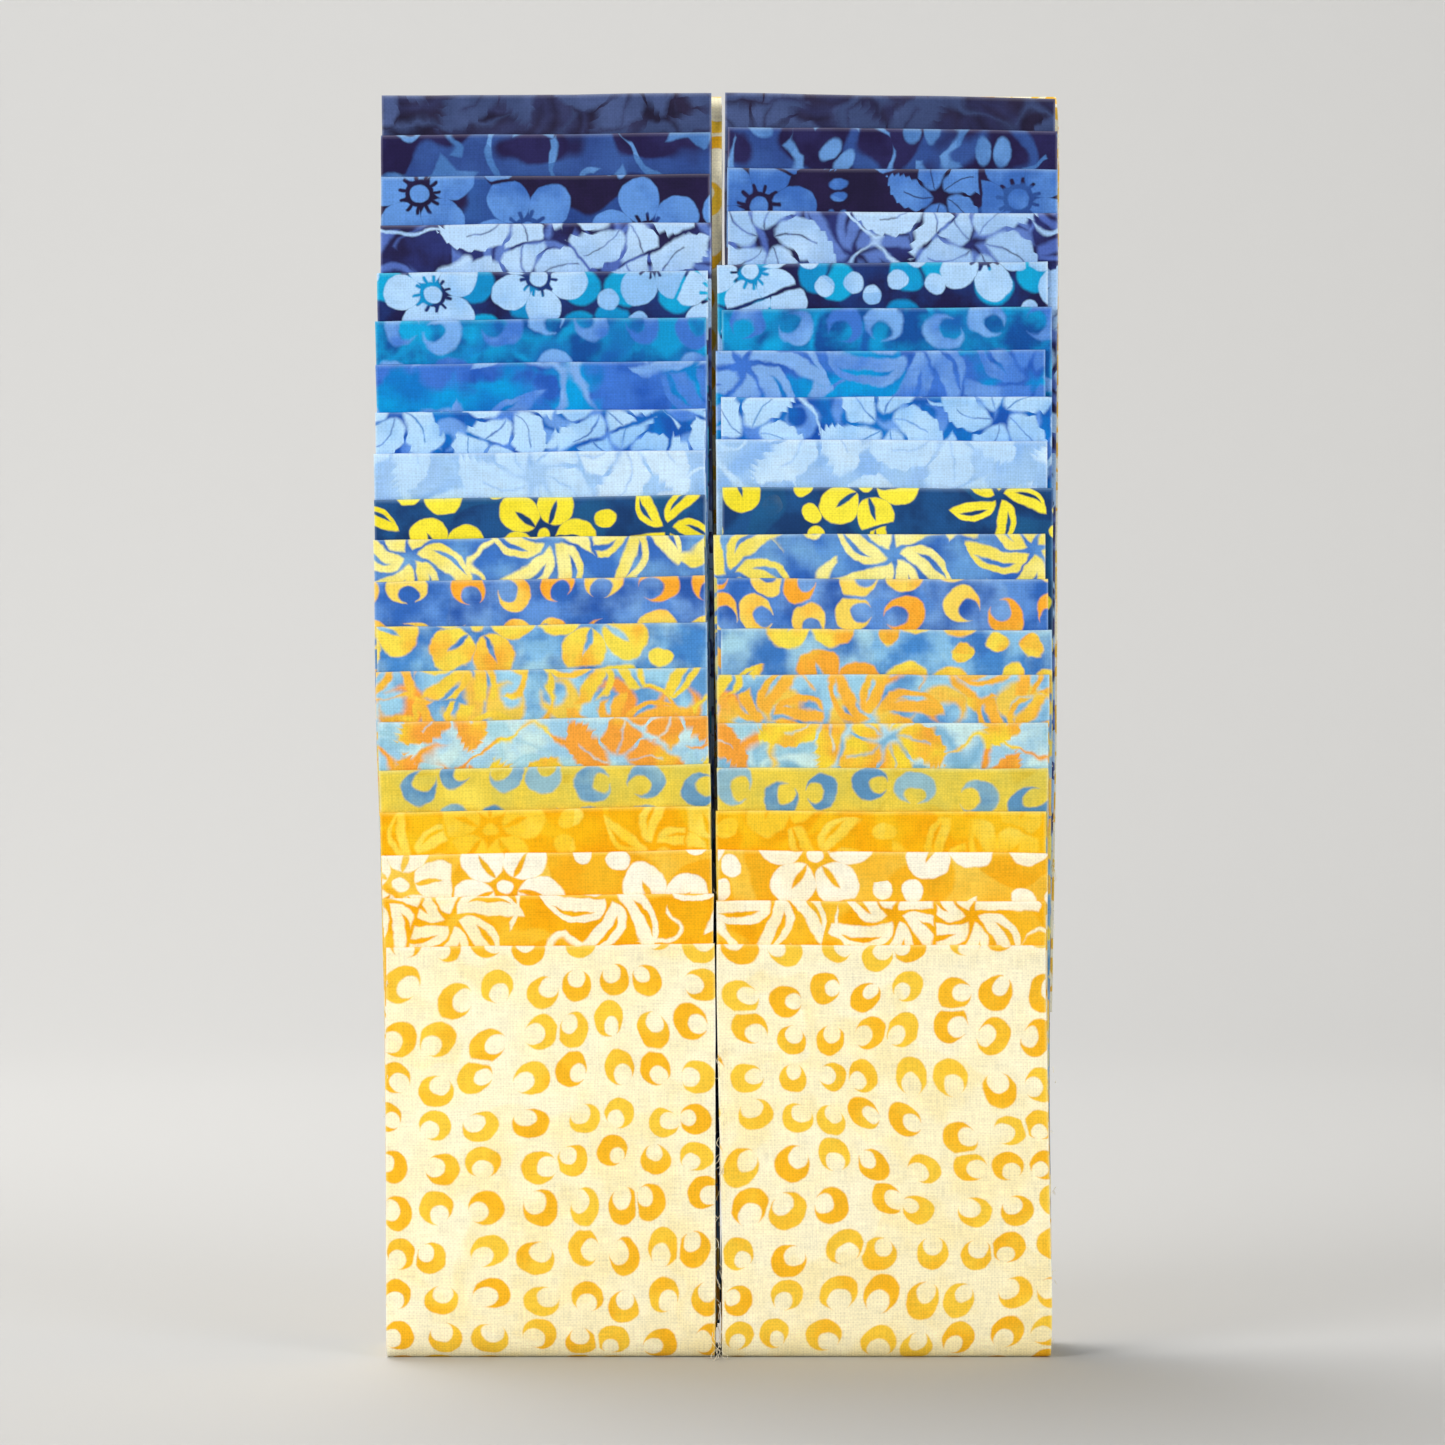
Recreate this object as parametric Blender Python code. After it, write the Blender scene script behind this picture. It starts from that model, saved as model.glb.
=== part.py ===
"""A stepped bundle of folded cotton print strips, stood on end.

Two columns of twenty strips lie side by side. Each strip is one length of cloth folded double, and
its fold is an edge that shows: the strips lie on each other in steps, the darkest at the back and
the palest in front. Each column turns under at the bottom, runs up the back, turns over at the top
and is tucked down between its own back and front, where the strips end one after another.

Metres, +Z up. The stepped face looks along -Y. The origin is under the middle of the base.
"""

import math
from collections import namedtuple

import bmesh
import bpy

# The sizes below are in millimetres, and the meshes are made in metres.
MM = 0.001

# Cloth: a strip's width, one layer, the space inside a doubled strip, and from strip to strip.
STRIP_WIDTH = 63.5
LAYER = 0.18
LAYER_GAP = 0.09
PITCH = 0.75
HALF_STRIP = LAYER_GAP / 2 + LAYER

# From a column's middle line to the middle of its innermost and outermost strips.
STRIPS_IN_COLUMN = 20
INNERMOST = 0.45
OUTERMOST = INNERMOST + (STRIPS_IN_COLUMN - 1) * PITCH

# The centres of the two turns. The base turn rests on z = 0, and the top turn is the highest part.
HEIGHT = 244.6
BASE_TURN = OUTERMOST + HALF_STRIP
TOP_TURN = HEIGHT - OUTERMOST - HALF_STRIP

# A turn is flat over a share of its width, and its corners are superellipses.
BASE_FLAT, BASE_ROUNDNESS = 0.6, 3.0
TOP_FLAT, TOP_ROUNDNESS = 0.3, 2.3

# Each corner has this many straight cuts. The innermost strips have tight, plain corners.
PLAIN_STRIPS = 4
PLAIN_CUTS, ROUND_CUTS = 1, 2

# The crest of a fold is flat over this share of the strip's thickness.
FOLD_CREST = 0.5

# The side view of a column, a row for each height. Bow is how far the middle line of the back lies
# behind the base turn's, and tucked counts the strips between the back and the front.
Level = namedtuple("Level", "height bow tucked")
LEVELS = (
    Level(BASE_TURN, 0.0, 0),
    Level(66.0, 2.8, 1),
    Level(131.0, 5.2, STRIPS_IN_COLUMN),
    Level(TOP_TURN, 0.5, STRIPS_IN_COLUMN),
)
LAST_END, FIRST_END = LEVELS[1:3]

# The columns: where the strips are centred at the base, and how far they drift by the top turn.
Column = namedtuple("Column", "name base_x top_drift")
LEFT = Column("left", -32.2, 1.3)
RIGHT = Column("right", 33.2, 1.0)

# The folds that show, a row for each pair of strips from the rear to the front. For each column,
# top is the height of the fold at mid-width, rise is how much its right end lies above its left
# end, and drift is how far it lies to the right of the column's base.
Pair = namedtuple("Pair", "left_top left_rise left_drift right_top right_rise right_drift ground")
PAIRS = (
    Pair(243.8, 0.5, -0.7, 243.6, -1.2, 0.1, "ink"),
    Pair(236.1, 0.6, -0.8, 237.1, -0.8, 0.7, "midnight"),
    Pair(228.0, 0.6, -0.8, 229.3, -0.3, 0.6, "navy"),
    Pair(218.7, 0.6, -0.8, 220.9, -0.45, 0.6, "periwinkle"),
    Pair(209.4, 0.5, -1.4, 211.1, 0.65, -1.45, "dark turquoise"),
    Pair(200.3, 0.8, -1.7, 202.4, 0.6, -0.5, "turquoise"),
    Pair(191.9, 0.8, -1.7, 194.2, 0.2, -1.8, "blue violet"),
    Pair(182.7, 0.8, -1.8, 185.3, 0.1, -0.5, "bright blue"),
    Pair(174.7, 0.7, -2.0, 177.0, -0.35, -1.6, "pale blue"),
    Pair(166.0, 1.0, -2.0, 167.8, -0.2, -0.4, "deep teal"),
    Pair(158.3, 1.0, -2.0, 158.9, 0.2, -2.0, "denim"),
    Pair(150.3, 1.3, -2.1, 150.3, -0.2, -1.5, "harbour blue"),
    Pair(141.5, 0.9, -1.5, 140.6, -0.3, -0.6, "haze"),
    Pair(132.9, 0.9, -1.5, 131.9, 0.0, -1.2, "dawn"),
    Pair(123.4, 1.3, -1.2, 122.6, 0.1, -1.3, "shell"),
    Pair(114.2, 1.35, -0.9, 114.0, -0.1, -1.4, "ochre"),
    Pair(106.1, 1.3, -0.9, 105.7, -0.15, -1.5, "gold"),
    Pair(97.7, 1.2, -0.6, 97.9, -0.7, -1.2, "gold and white"),
    Pair(89.4, 0.95, -0.3, 88.3, -0.15, -1.4, "gold and cream"),
    Pair(79.7, 0.8, 0.0, 79.8, -0.2, -1.4, "cream"),
)

# The mean colour of each print, as linear red, green and blue.
GROUNDS = {
    "ink": (0.02, 0.02, 0.06),
    "midnight": (0.03, 0.04, 0.15),
    "navy": (0.04, 0.06, 0.25),
    "periwinkle": (0.11, 0.17, 0.48),
    "dark turquoise": (0.05, 0.14, 0.40),
    "turquoise": (0.04, 0.17, 0.45),
    "blue violet": (0.08, 0.22, 0.58),
    "bright blue": (0.13, 0.30, 0.70),
    "pale blue": (0.26, 0.45, 0.78),
    "deep teal": (0.20, 0.26, 0.15),
    "denim": (0.26, 0.34, 0.42),
    "harbour blue": (0.26, 0.27, 0.33),
    "haze": (0.33, 0.40, 0.40),
    "dawn": (0.42, 0.44, 0.35),
    "shell": (0.55, 0.49, 0.30),
    "ochre": (0.52, 0.47, 0.17),
    "gold": (0.85, 0.48, 0.05),
    "gold and white": (0.85, 0.60, 0.22),
    "gold and cream": (0.86, 0.58, 0.18),
    "cream": (0.88, 0.76, 0.42),
}
CLOTH_ROUGHNESS = 0.9
SMOOTH_UNDER = math.radians(50)

# A place on a column's middle line. A point at a reach from it lies at
# (x, y + out * reach, z + up * reach).
Station = namedtuple("Station", "x y z out up")

# The four corners of a doubled strip at a station, from its front side to its back side.
FRONT, FRONT_INSIDE, BACK_INSIDE, BACK = range(4)


def clear_scene():
    for old in list(bpy.data.objects):
        bpy.data.objects.remove(old, do_unlink=True)


def at_height(height):
    """The bow and the number of tucked strips at a height, between the rows of LEVELS."""
    for low, high in zip(LEVELS, LEVELS[1:]):
        if height <= high.height or high is LEVELS[-1]:
            share = (height - low.height) / (high.height - low.height)
            bow = low.bow + share * (high.bow - low.bow)
            tucked = low.tucked + share * (high.tucked - low.tucked)
            return bow, tucked


def drift_at(height, drift, full_height):
    """A drift that grows evenly from nothing at the base turn to all of it at full_height."""
    return drift * (height - BASE_TURN) / (full_height - BASE_TURN)


def corner(flat, roundness, cuts):
    """A turn's corner at unit size, from its side to its flat, as (sideways, outwards) pairs."""
    points = [(1.0, 0.0)]
    for step in range(1, cuts):
        angle = math.pi / 2 * step / cuts
        sideways = math.cos(angle) ** (2 / roundness)
        outwards = math.sin(angle) ** (2 / roundness)
        points.append((flat + (1 - flat) * sideways, outwards))
    points.append((flat, 1.0))
    return points


def turn(x, y, z, start, up, points):
    """A whole turn. It starts on the front (-1) or the back (1), and its flat is over or under z."""
    first = [Station(x, y, z, start * side, up * outwards) for side, outwards in points]
    second = [Station(x, y, z, -start * side, up * outwards) for side, outwards in reversed(points)]
    return first + second


def front_run(x, top, drift):
    """The front of a strip, from under its fold down to the base turn."""
    fold = top - HALF_STRIP
    heights = [fold]
    heights += [level.height for level in (FIRST_END, LAST_END) if level.height < fold]
    stations = []
    for height in heights:
        bow, tucked = at_height(height)
        place = x + drift_at(height, drift, top)
        stations.append(Station(place, bow - PITCH * tucked, height, -1, 0))
    return stations


def back_run(x, drift):
    """The back of a strip, going up between its two turns."""
    stations = []
    for level in (LAST_END, FIRST_END):
        place = x + drift_at(level.height, drift, TOP_TURN)
        stations.append(Station(place, level.bow, level.height, 1, 0))
    return stations


def tucked_run(x, index):
    """The tucked end of a strip, going down. Outer strips reach lower, and close in under the others."""
    share = (STRIPS_IN_COLUMN - 1 - index) / (STRIPS_IN_COLUMN - 1)
    end = LAST_END.height + share * (FIRST_END.height - LAST_END.height)
    stations = []
    for height in sorted({FIRST_END.height, end}, reverse=True):
        bow, tucked = at_height(height)
        closed_in = PITCH * (STRIPS_IN_COLUMN - tucked)
        stations.append(Station(x, bow + closed_in, height, -1, 0))
    return stations


def cut_edge(index, column, top, drift, across):
    """The stations of one cut edge, which lies across from the strip's centre line."""
    cuts = PLAIN_CUTS if index < PLAIN_STRIPS else ROUND_CUTS
    base_corner = corner(BASE_FLAT, BASE_ROUNDNESS, cuts)
    top_corner = corner(TOP_FLAT, TOP_ROUNDNESS, cuts)
    base_x = column.base_x + across
    top_x = base_x + column.top_drift
    return (
        front_run(base_x, top, drift)
        + turn(base_x, LEVELS[0].bow, BASE_TURN, -1, -1, base_corner)
        + back_run(base_x, column.top_drift)
        + turn(top_x, LEVELS[-1].bow, TOP_TURN, 1, 1, top_corner)
        + tucked_run(top_x, index)
    )


def edge_corners(bm, column, index, stations, top):
    """The mesh corners of a cut edge: two on the crest of its fold, and four at each station."""
    reach = INNERMOST + index * PITCH
    fold = stations[0]

    def vertex(x, y, z):
        return bm.verts.new(((x - column.base_x) * MM, y * MM, z * MM))

    half_crest = FOLD_CREST * HALF_STRIP
    crest = [vertex(fold.x, fold.y - reach - side, top) for side in (half_crest, -half_crest)]
    rows = []
    for place in stations:
        reaches = [reach + side for side in (HALF_STRIP, LAYER_GAP / 2, -LAYER_GAP / 2, -HALF_STRIP)]
        rows.append([vertex(place.x, place.y + place.out * r, place.z + place.up * r) for r in reaches])
    return crest, rows


def add_layer(bm, left, right, outer, inner):
    """One layer of a strip: its two faces and two cut edges, row by row, and its end."""
    for left_here, left_next, right_here, right_next in zip(left, left[1:], right, right[1:]):
        bm.faces.new((left_here[outer], left_next[outer], right_next[outer], right_here[outer]))
        bm.faces.new((right_here[inner], right_next[inner], left_next[inner], left_here[inner]))
        bm.faces.new((left_here[inner], left_next[inner], left_next[outer], left_here[outer]))
        bm.faces.new((right_here[outer], right_next[outer], right_next[inner], right_here[inner]))
    bm.faces.new((left[-1][outer], left[-1][inner], right[-1][inner], right[-1][outer]))


def add_fold(bm, left_crest, right_crest, left, right):
    """The bend that joins the two layers of a strip."""
    bm.faces.new((left_crest[0], left[FRONT], right[FRONT], right_crest[0]))
    bm.faces.new((left_crest[1], left_crest[0], right_crest[0], right_crest[1]))
    bm.faces.new((left[BACK], left_crest[1], right_crest[1], right[BACK]))
    bm.faces.new((left[FRONT_INSIDE], left[BACK_INSIDE], right[BACK_INSIDE], right[FRONT_INSIDE]))
    bm.faces.new((left_crest[0], left_crest[1], *reversed(left)))
    bm.faces.new((*right, right_crest[1], right_crest[0]))


def cloth_material(name, colour):
    material = bpy.data.materials.new(name)
    material.use_nodes = True
    shader = material.node_tree.nodes["Principled BSDF"]
    shader.inputs["Base Color"].default_value = (*colour, 1.0)
    shader.inputs["Roughness"].default_value = CLOTH_ROUGHNESS
    shader.inputs["Metallic"].default_value = 0.0
    return material


def make_strip(index, column, top, rise, drift, ground, parent):
    """One doubled strip as a closed solid between its left and right cut edges."""
    bm = bmesh.new()
    crests, edges = [], []
    for side in (-1, 1):
        edge_top = top + side * rise / 2
        stations = cut_edge(index, column, edge_top, drift, side * STRIP_WIDTH / 2)
        crest, rows = edge_corners(bm, column, index, stations, edge_top)
        crests.append(crest)
        edges.append(rows)
    left, right = edges
    add_fold(bm, *crests, left[0], right[0])
    add_layer(bm, left, right, FRONT, FRONT_INSIDE)
    add_layer(bm, left, right, BACK_INSIDE, BACK)
    name = f"strip_{column.name}_{index + 1:02d}"
    mesh = bpy.data.meshes.new(name)
    bm.to_mesh(mesh)
    bm.free()
    mesh.shade_smooth()
    mesh.set_sharp_from_angle(angle=SMOOTH_UNDER)
    mesh.materials.append(cloth_material(name, GROUNDS[ground]))
    strip = bpy.data.objects.new(name, mesh)
    strip.parent = parent
    bpy.context.scene.collection.objects.link(strip)


def make_column(column, bundle):
    """An empty at the middle of the column's base, with the column's strips."""
    base = bpy.data.objects.new(f"column_{column.name}", None)
    base.location.x = column.base_x * MM
    base.parent = bundle
    bpy.context.scene.collection.objects.link(base)
    for index, pair in enumerate(PAIRS):
        if column is LEFT:
            fold = pair.left_top, pair.left_rise, pair.left_drift
        else:
            fold = pair.right_top, pair.right_rise, pair.right_drift
        make_strip(index, column, *fold, pair.ground, base)


def main():
    clear_scene()
    bundle = bpy.data.objects.new("bundle", None)
    bpy.context.scene.collection.objects.link(bundle)
    make_column(LEFT, bundle)
    make_column(RIGHT, bundle)


main()
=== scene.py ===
"""Looks of a stepped bundle of folded batik cotton strips, stood on end.

Each strip of the frame is replaced by one sheet of cloth that is folded double and follows the same
route: down the front, under at the base, up the back, over at the top and down inside. The prints
are dyes painted by shader nodes on coordinates that are measured along the cloth.
"""

import math
from collections import namedtuple

import bpy
import numpy as np
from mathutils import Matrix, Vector


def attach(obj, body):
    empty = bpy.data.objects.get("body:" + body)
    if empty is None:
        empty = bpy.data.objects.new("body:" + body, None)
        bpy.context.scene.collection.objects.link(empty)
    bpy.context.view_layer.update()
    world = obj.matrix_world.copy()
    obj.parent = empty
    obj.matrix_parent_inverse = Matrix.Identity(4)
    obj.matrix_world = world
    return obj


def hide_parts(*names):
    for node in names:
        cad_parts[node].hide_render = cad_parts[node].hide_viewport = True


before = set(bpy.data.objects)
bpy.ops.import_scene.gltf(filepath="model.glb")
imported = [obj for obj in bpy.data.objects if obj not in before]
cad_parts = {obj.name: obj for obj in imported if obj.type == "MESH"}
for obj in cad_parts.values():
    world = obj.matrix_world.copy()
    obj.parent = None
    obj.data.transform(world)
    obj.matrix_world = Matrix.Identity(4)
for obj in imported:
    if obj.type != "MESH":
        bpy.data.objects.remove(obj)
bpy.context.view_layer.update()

# Lengths are in millimetres, and meshes are made in metres.
MM = 0.001

# Cloth: a strip's width and whole length, one layer, the space inside a doubled strip, and from
# strip to strip.
STRIP_WIDTH = 63.5
LAYER = 0.27
LAYER_GAP = 0.04
PITCH = 0.75
HALF_STRIP = LAYER_GAP / 2 + LAYER

# The route of the strips, as in the frame: see its nodes.
STRIPS_IN_COLUMN = 20
INNERMOST = 0.45
FRAME_HALF_STRIP = 0.225
OUTERMOST = INNERMOST + (STRIPS_IN_COLUMN - 1) * PITCH
HEIGHT = 244.6
BASE_TURN = OUTERMOST + FRAME_HALF_STRIP
TOP_TURN = HEIGHT - OUTERMOST - FRAME_HALF_STRIP
BASE_FLAT, BASE_ROUNDNESS = 0.6, 3.0
TOP_FLAT, TOP_ROUNDNESS = 0.3, 2.3

# The side view: bow is how far the middle line of the back lies behind the base turn's, and tucked
# counts the strips between the back and the front.
Level = namedtuple("Level", "height bow tucked")
LEVELS = (
    Level(BASE_TURN, 0.0, 0),
    Level(66.0, 2.8, 1),
    Level(131.0, 5.2, STRIPS_IN_COLUMN),
    Level(TOP_TURN, 0.5, STRIPS_IN_COLUMN),
)

# The inner strips stand unevenly at the base, and close the gap between the columns there by up to
# the inner shift. The outer strips keep one place.
Column = namedtuple("Column", "name base_x top_drift inner_shift outer_shift")
LEFT = Column("left", -32.2, 1.3, 1.4, 0.15)
RIGHT = Column("right", 33.2, 1.0, -0.8, -0.6)
OUTER_STRIPS = 6
SHIFT_FADE = 70.0

# The folds that show, a row for each pair of strips from the rear to the front: the height at
# mid-width, how much the right end lies above the left end, and the drift from the column's base.
Pair = namedtuple("Pair", "left_top left_rise left_drift right_top right_rise right_drift")
PAIRS = (
    Pair(243.8, 0.5, -0.7, 243.6, -1.2, 0.1),
    Pair(236.1, 0.6, -0.8, 237.1, -0.8, 0.7),
    Pair(228.0, 0.6, -0.8, 229.3, -0.3, 0.6),
    Pair(218.7, 0.6, -0.8, 220.9, -0.45, 0.6),
    Pair(209.4, 0.5, -1.4, 211.1, 0.65, -1.45),
    Pair(200.3, 0.8, -1.7, 202.4, 0.6, -0.5),
    Pair(191.9, 0.8, -1.7, 194.2, 0.2, -1.8),
    Pair(182.7, 0.8, -1.8, 185.3, 0.1, -0.5),
    Pair(174.7, 0.7, -2.0, 177.0, -0.35, -1.6),
    Pair(166.0, 1.0, -2.0, 167.8, -0.2, -0.4),
    Pair(158.3, 1.0, -2.0, 158.9, 0.2, -2.0),
    Pair(150.3, 1.3, -2.1, 150.3, -0.2, -1.5),
    Pair(141.5, 0.9, -1.5, 140.6, -0.3, -0.6),
    Pair(132.9, 0.9, -1.5, 131.9, 0.0, -1.2),
    Pair(123.4, 1.3, -1.2, 122.6, 0.1, -1.3),
    Pair(114.2, 1.35, -0.9, 114.0, -0.1, -1.4),
    Pair(106.1, 1.3, -0.9, 105.7, -0.15, -1.5),
    Pair(97.7, 1.2, -0.6, 97.9, -0.7, -1.2),
    Pair(89.4, 0.95, -0.3, 88.3, -0.15, -1.4),
    Pair(79.7, 0.8, 0.0, 79.8, -0.2, -1.4),
)

# How finely the cloth is made: places across it, in shares of its width, and steps along the route.
HALF_SHARES = (0, 0.003, 0.008, 0.03, 0.09, 0.17, 0.25, 0.33, 0.42, 0.5)
SHARES = np.array(HALF_SHARES + tuple(1 - share for share in reversed(HALF_SHARES[:-1])))
ACROSS = (SHARES - 0.5) * STRIP_WIDTH
FOLD_STEPS = (0.0, 0.5, 1.2, 2.4, 4.0, 6.5, 10.0)
FRONT_STEP = 8.0
BACK_STEP = 14.0
CORNER_STEPS = 9
FOLD_ARC_STEPS = 6

# Unevenness of the cloth: how far its fold, cut edges and faces wander and over what length. The
# fold is puffed up, and what it does fades out down the strip.
FOLD_PUFF, FOLD_PUFF_LENGTH = 0.16, 2.6
FOLD_WANDER, FOLD_WAVE, FOLD_FADE = 0.13, 9.0, 40.0
EDGE_WANDER, EDGE_WAVE = 0.16, 14.0
FACE_WANDER, FACE_WAVE = 0.22, 31.0
FACE_SEED = 7

# The rates and weights of the sines that add up to a smooth random wave.
WAVES = ((1.0, 0.5), (1.9, 0.28), (3.7, 0.15), (6.1, 0.07))

# Painted highlight on the front half of a fold, from foot to top, and how rubbed the cut edges are.
# The highlight stands in for the top light on the fold's rounded crest.
FOLD_HIGHLIGHT = (0.35, 0.8, 0.7)
EDGE_WEAR = (1.0, 0.5)

# Half of the cloth's way over a fold.
HALF_FOLD = 0.5
FOLD_ARC = math.pi * HALF_STRIP

THREAD_RNG = np.random.default_rng(41)


# Routes


def eased(height, field):
    """A field of LEVELS at some heights, on a smooth curve that keeps its rises and falls."""
    heights = np.array([level.height for level in LEVELS])
    values = np.array([getattr(level, field) for level in LEVELS], float)
    steps, rises = np.diff(heights), np.diff(values)
    slopes = rises / steps
    tangents = np.zeros(len(heights))
    for i in range(1, len(heights) - 1):
        if slopes[i - 1] * slopes[i] > 0:
            tangents[i] = 2 * slopes[i - 1] * slopes[i] / (slopes[i - 1] + slopes[i])
    height = np.asarray(height, float)
    at = np.clip(np.searchsorted(heights, height) - 1, 0, len(steps) - 1)
    t = np.clip((height - heights[at]) / steps[at], 0, 1)
    start, end, rise = tangents[at] * steps[at], tangents[at + 1] * steps[at], rises[at]
    return values[at] + t * start + t**2 * (3 * rise - 2 * start - end) + t**3 * (start + end - 2 * rise)


def corner(flat, roundness):
    """A turn's corner at unit size, from its side to its flat, as rows of (sideways, outwards)."""
    angle = np.linspace(0, math.pi / 2, CORNER_STEPS + 1)
    sideways = flat + (1 - flat) * np.cos(angle).clip(0) ** (2 / roundness)
    return np.stack([sideways, np.sin(angle) ** (2 / roundness)], axis=1)


def rows(x, y, z, out, up):
    """Places on the middle line: a point at a reach from one is (x, y + out * reach, z + up * reach)."""
    return np.stack(np.broadcast_arrays(x, y, z, out, up), axis=1).astype(float)


def turn(x, y, z, start, up, points):
    """A turn round one place, from the side that start names to the other side."""
    sideways, outwards = points.T
    first = rows(x, y, z, start * sideways, up * outwards)
    return np.concatenate([first, rows(x, y, z, -start * sideways[::-1], up * outwards[::-1])])


def steps_between(high, low, step):
    count = max(1, round(abs(high - low) / step))
    return np.linspace(high, low, count + 1)


def tucked_end(index):
    """The height at which a strip ends inside. The innermost strip's end is the highest."""
    low, high = LEVELS[1].height, LEVELS[2].height
    return low + (high - low) * (STRIPS_IN_COLUMN - 1 - index) / (STRIPS_IN_COLUMN - 1)


def route(index, column, top, drift):
    """The places that one strip follows, from under its fold to its tucked end."""
    under_fold = top - HALF_STRIP - np.array(FOLD_STEPS)
    front = np.concatenate([under_fold[:-1], steps_between(under_fold[-1], BASE_TURN, FRONT_STEP)[:-1]])
    front_x = drift * (front - BASE_TURN) / (top - BASE_TURN)
    front_y = eased(front, "bow") - PITCH * eased(front, "tucked")
    back = steps_between(BASE_TURN, TOP_TURN, BACK_STEP)[1:-1]
    back_x = column.top_drift * (back - BASE_TURN) / (TOP_TURN - BASE_TURN)
    tucked = steps_between(TOP_TURN, tucked_end(index), BACK_STEP)[1:]
    tucked_y = eased(tucked, "bow") + PITCH * (STRIPS_IN_COLUMN - eased(tucked, "tucked"))
    parts = (
        rows(front_x, front_y, front, -1, 0),
        turn(0, LEVELS[0].bow, BASE_TURN, -1, -1, corner(BASE_FLAT, BASE_ROUNDNESS)),
        rows(back_x, eased(back, "bow"), back, 1, 0),
        turn(column.top_drift, LEVELS[-1].bow, TOP_TURN, 1, 1, corner(TOP_FLAT, TOP_ROUNDNESS)),
        rows(column.top_drift, tucked_y, tucked, -1, 0),
    )
    return np.concatenate(parts)


# Cloth surfaces


def wander(places, scale, seed):
    """A smooth random wave along places, between about -1 and 1."""
    phases = np.random.default_rng(seed).uniform(0, 2 * math.pi, len(WAVES))
    return sum(
        weight * np.sin(places / scale * rate + phase) for (rate, weight), phase in zip(WAVES, phases)
    )


def base_shift(index, column):
    """How far a strip stands sideways at the base."""
    if index >= STRIPS_IN_COLUMN - OUTER_STRIPS:
        return column.outer_shift
    leaning = 0.5 + 0.5 * math.sin(2.3 * index + 0.8)
    return column.inner_shift * (leaning if column is LEFT else 1 - leaning)


def distance_along(y, z, out, up, reach):
    """How far each place of a strip lies from its fold, along the cloth."""
    middle = np.concatenate([y + out * reach, z + up * reach], axis=1)
    steps = np.linalg.norm(np.diff(middle, axis=0), axis=1)
    return np.concatenate([[0], np.cumsum(steps)])[:, None]


def edge_sway(along, seed):
    """How far the cut edges wander sideways. It fades out towards the other edge."""
    left = EDGE_WANDER * wander(along, EDGE_WAVE, seed + 1)
    right = EDGE_WANDER * wander(along, EDGE_WAVE, seed + 2)
    return left * (1 - SHARES) ** 2 + right * SHARES**2


def face_sway(column, z, up):
    """How far the faces of the whole bundle wander together. It fades out at the base and the top."""
    waves = FACE_WANDER * wander(ACROSS + column.base_x + 2.0 * z, FACE_WAVE, FACE_SEED)
    from_base = np.clip((z - BASE_TURN) / 30.0, 0, 1)
    from_top = np.clip((TOP_TURN + 12.0 - z) / 20.0, 0, 1)
    return np.where(up == 0, waves * from_base * from_top, 0.0)


# What the surfaces of a doubled strip have in common, a row for each place of its route.
Run = namedtuple("Run", "reach x y z out up lift sway puff along")


def run_of(index, column, top, rise, drift, seed):
    """The run of one strip, with its unevenness."""
    reach = INNERMOST + index * PITCH
    x, y, z, out, up = (values[:, None] for values in route(index, column, top, drift).T)
    along = distance_along(y, z, out, up, reach)
    slope = rise * (SHARES - 0.5) + FOLD_WANDER * wander(ACROSS, FOLD_WAVE, seed)
    shift = base_shift(index, column) * np.exp(-z / SHIFT_FADE)
    return Run(
        reach=reach,
        x=column.base_x + x + shift + ACROSS + edge_sway(along, seed),
        y=y,
        z=z,
        out=out,
        up=up,
        lift=slope * np.exp(-along / FOLD_FADE),
        sway=face_sway(column, z, up),
        puff=FOLD_PUFF * np.exp(-along / FOLD_PUFF_LENGTH),
        along=along[:, 0],
    )


def face(run, side, puff):
    """One face of a doubled strip, this far to the side of its middle."""
    reach = run.reach + side + puff
    return np.stack([run.x, run.y + run.out * reach - run.sway, run.z + run.up * reach + run.lift], axis=-1)


def fold_arc(run, half):
    """The rows over the fold, from the front face to the back face."""
    angle = np.linspace(0, math.pi, FOLD_ARC_STEPS + 1)[1:-1, None]
    radius = half + FOLD_PUFF / 2
    y = run.y[0] - (run.reach + FOLD_PUFF / 2) - radius * np.cos(angle) - run.sway[0]
    z = run.z[0] + radius * np.sin(angle) + run.lift[0]
    return np.stack(np.broadcast_arrays(run.x[0], y, z), axis=-1)


def skin(run, half):
    """One surface of the cloth, from one end over the fold to the other end, as a grid of points."""
    return np.concatenate([face(run, half, run.puff)[::-1], fold_arc(run, half), face(run, -half, 0.0)])


def cloth_places(run):
    """How far the rows of a skin lie along the cloth from the middle of its fold."""
    over_fold = np.linspace(0, FOLD_ARC, FOLD_ARC_STEPS + 1)[1:-1] - FOLD_ARC / 2
    return np.concatenate([-run.along[::-1] - HALF_FOLD, over_fold, run.along + HALF_FOLD])


def wear_and_highlight(run, count):
    """Rubbed cut edges and a painted fold highlight, for a skin of this many rows, from 0 to 1."""
    worn_and_highlit = np.zeros((count, len(SHARES)), np.float32)
    for column, level in enumerate(EDGE_WEAR):
        worn_and_highlit[:, [column, -1 - column]] = level
    crest = np.zeros(count, np.float32)
    # The front half of the fold gets a painted highlight, for the top light that catches it.
    crest[len(run.along) - 1 : len(run.along) + 2] = FOLD_HIGHLIGHT
    return np.maximum(worn_and_highlit, crest[:, None])


# Cloth meshes


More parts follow.
